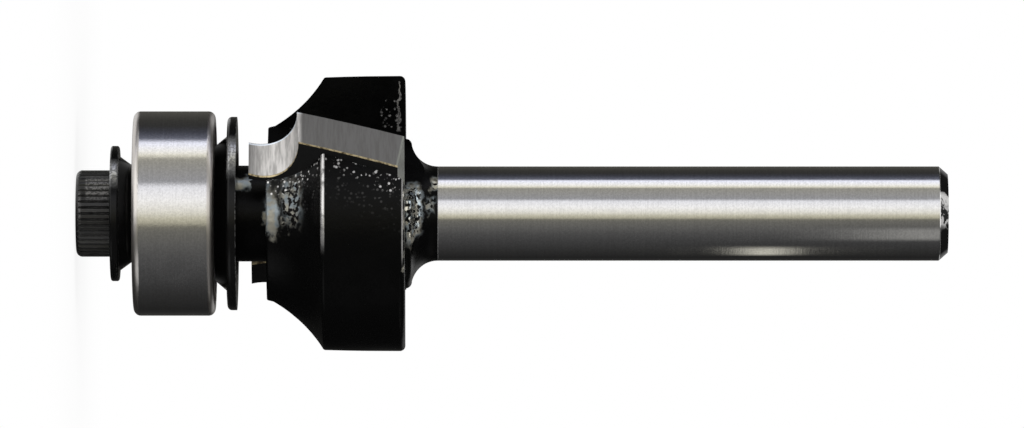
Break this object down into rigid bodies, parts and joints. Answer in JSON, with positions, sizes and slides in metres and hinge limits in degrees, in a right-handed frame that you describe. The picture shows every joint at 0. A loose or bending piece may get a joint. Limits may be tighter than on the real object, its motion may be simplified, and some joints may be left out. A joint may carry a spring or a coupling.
{
  "type": "router bit",
  "caption": "Bearing-guided rounding-over router bit: brazed cutting tips on a black fluted head, a plain round shank, and a guide bearing held by a knurled screw.",
  "frame": {"origin": "middle of the flat end of the clamp screw's head, on the bit's axis", "axes": "+Z along the bit's axis towards the shank's end; the picture looks along +Y with +Z to its right"},
  "size_m": [0.0175, 0.0176, 0.0554],
  "materials": {
    "black_coat": "satin black coat on steel",
    "carbide": "ground",
    "braze": "brazed",
    "bearing_steel": "fine ground",
    "ball_steel": "polished",
    "cage_plastic": "moulded",
    "shield_steel": "stamped",
    "screw_oxide": "black oxide"
  },
  "bodies": {
    "cutter": {"cutter_body": "black_coat", "carbide_tip_a": "carbide", "carbide_tip_b": "carbide", "braze_film_a": "braze", "braze_film_b": "braze", "dust_shield": "black_coat", "bearing_inner_ring": "bearing_steel", "cup_washer": "black_coat", "cap_screw": "screw_oxide"},
    "guide_ring": {"bearing_outer_ring": "bearing_steel", "bearing_shield_front": "shield_steel", "bearing_shield_rear": "shield_steel"},
    "ball_set": {"bearing_balls": "ball_steel", "ball_cage": "cage_plastic"}
  },
  "joints": [
    {"name": "guide_ring_spin", "type": "hinge", "parent": "cutter", "child": "guide_ring", "pos_m": [0, 0, 0.00625], "axis": [0, 0, 1], "continuous": true},
    {"name": "ball_set_spin", "type": "hinge", "parent": "cutter", "child": "ball_set", "pos_m": [0, 0, 0.00625], "axis": [0, 0, 1], "continuous": true}
  ],
  "couplings": [
    {"joint": "ball_set_spin", "follows": "guide_ring_spin", "ratio": 0.6384}
  ]
}
